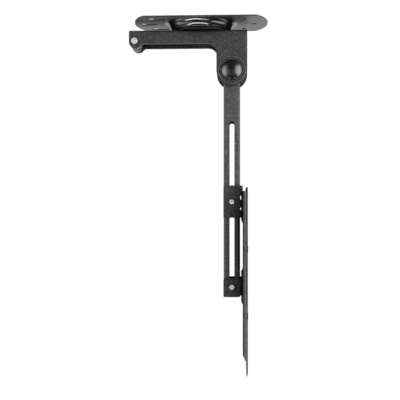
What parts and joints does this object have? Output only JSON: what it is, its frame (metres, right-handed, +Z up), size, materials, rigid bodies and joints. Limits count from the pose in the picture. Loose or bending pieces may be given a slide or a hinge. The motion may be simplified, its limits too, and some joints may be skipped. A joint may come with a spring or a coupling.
{
  "type": "tv ceiling mount",
  "caption": "Folding ceiling mount for a television: swivel ceiling plate, latched bracket, friction-pivot arm and a screen plate that slides along the arm.",
  "frame": {"origin": "on the swivel axis, at the face of the plate that lies on the ceiling", "axes": "+Z up, +X from the arm to the television, +Y across the arm"},
  "size_m": [0.173, 0.216, 0.4242],
  "materials": {
    "black_coat": "satin",
    "gloss_black": "gloss",
    "black_plastic": "matte",
    "black_nylon": "matte",
    "bright_zinc": "satin",
    "yellow_zinc": "satin",
    "spring_steel": "satin"
  },
  "bodies": {
    "ceiling": {"ceiling_plate": "black_coat", "swivel_bolt": "bright_zinc", "swivel_nut": "bright_zinc", "swivel_washer": "bright_zinc", "swivel_disc": "black_nylon"},
    "bracket": {"swivel_bracket": "black_coat", "pivot_ring_near": "black_plastic", "pivot_dome_near": "gloss_black", "friction_housing": "black_coat", "disc_springs": "spring_steel", "pivot_washer": "bright_zinc", "pivot_nut": "bright_zinc", "pivot_ring_far": "black_plastic", "pivot_dome_far": "gloss_black", "pivot_bolt": "bright_zinc", "glide_disc_near": "black_nylon", "glide_disc_far": "black_nylon", "latch_bolt": "bright_zinc", "latch_nut": "bright_zinc", "latch_sleeve": "bright_zinc", "latch_spring": "spring_steel"},
    "latch": {"latch_lever": "yellow_zinc"},
    "arm": {"swing_arm": "black_coat", "arm_bush": "black_nylon", "arm_plug": "black_plastic"},
    "carrier": {"upper_clamp": "black_coat", "upper_clamp_bolt": "bright_zinc", "upper_clamp_nut": "bright_zinc", "upper_clamp_washers": "bright_zinc", "lower_clamp": "black_coat", "lower_clamp_bolt": "bright_zinc", "lower_clamp_nut": "bright_zinc", "lower_clamp_washers": "bright_zinc", "screen_spine": "black_coat", "screen_plate": "black_coat", "spine_rivets": "black_coat"}
  },
  "joints": [
    {"name": "bracket_swivel", "type": "hinge", "parent": "ceiling", "child": "bracket", "pos_m": [0, 0, 0], "axis": [0, 0, 1], "range_deg": [-45, 45]},
    {"name": "arm_fold", "type": "hinge", "parent": "bracket", "child": "arm", "pos_m": [0.0386, 0, -0.0622], "axis": [0, 1, 0], "range_deg": [0, 90]},
    {"name": "carrier_slide", "type": "slide", "parent": "arm", "child": "carrier", "axis": [0, 0, 1], "range_m": [0, 0.092]},
    {"name": "latch_swing", "type": "hinge", "parent": "bracket", "child": "latch", "pos_m": [-0.0823, 0, -0.0254], "axis": [0, 1, 0], "range_deg": [0, 105], "stiffness_Nm_per_rad": 0.05, "springref_deg": -34.38}
  ]
}
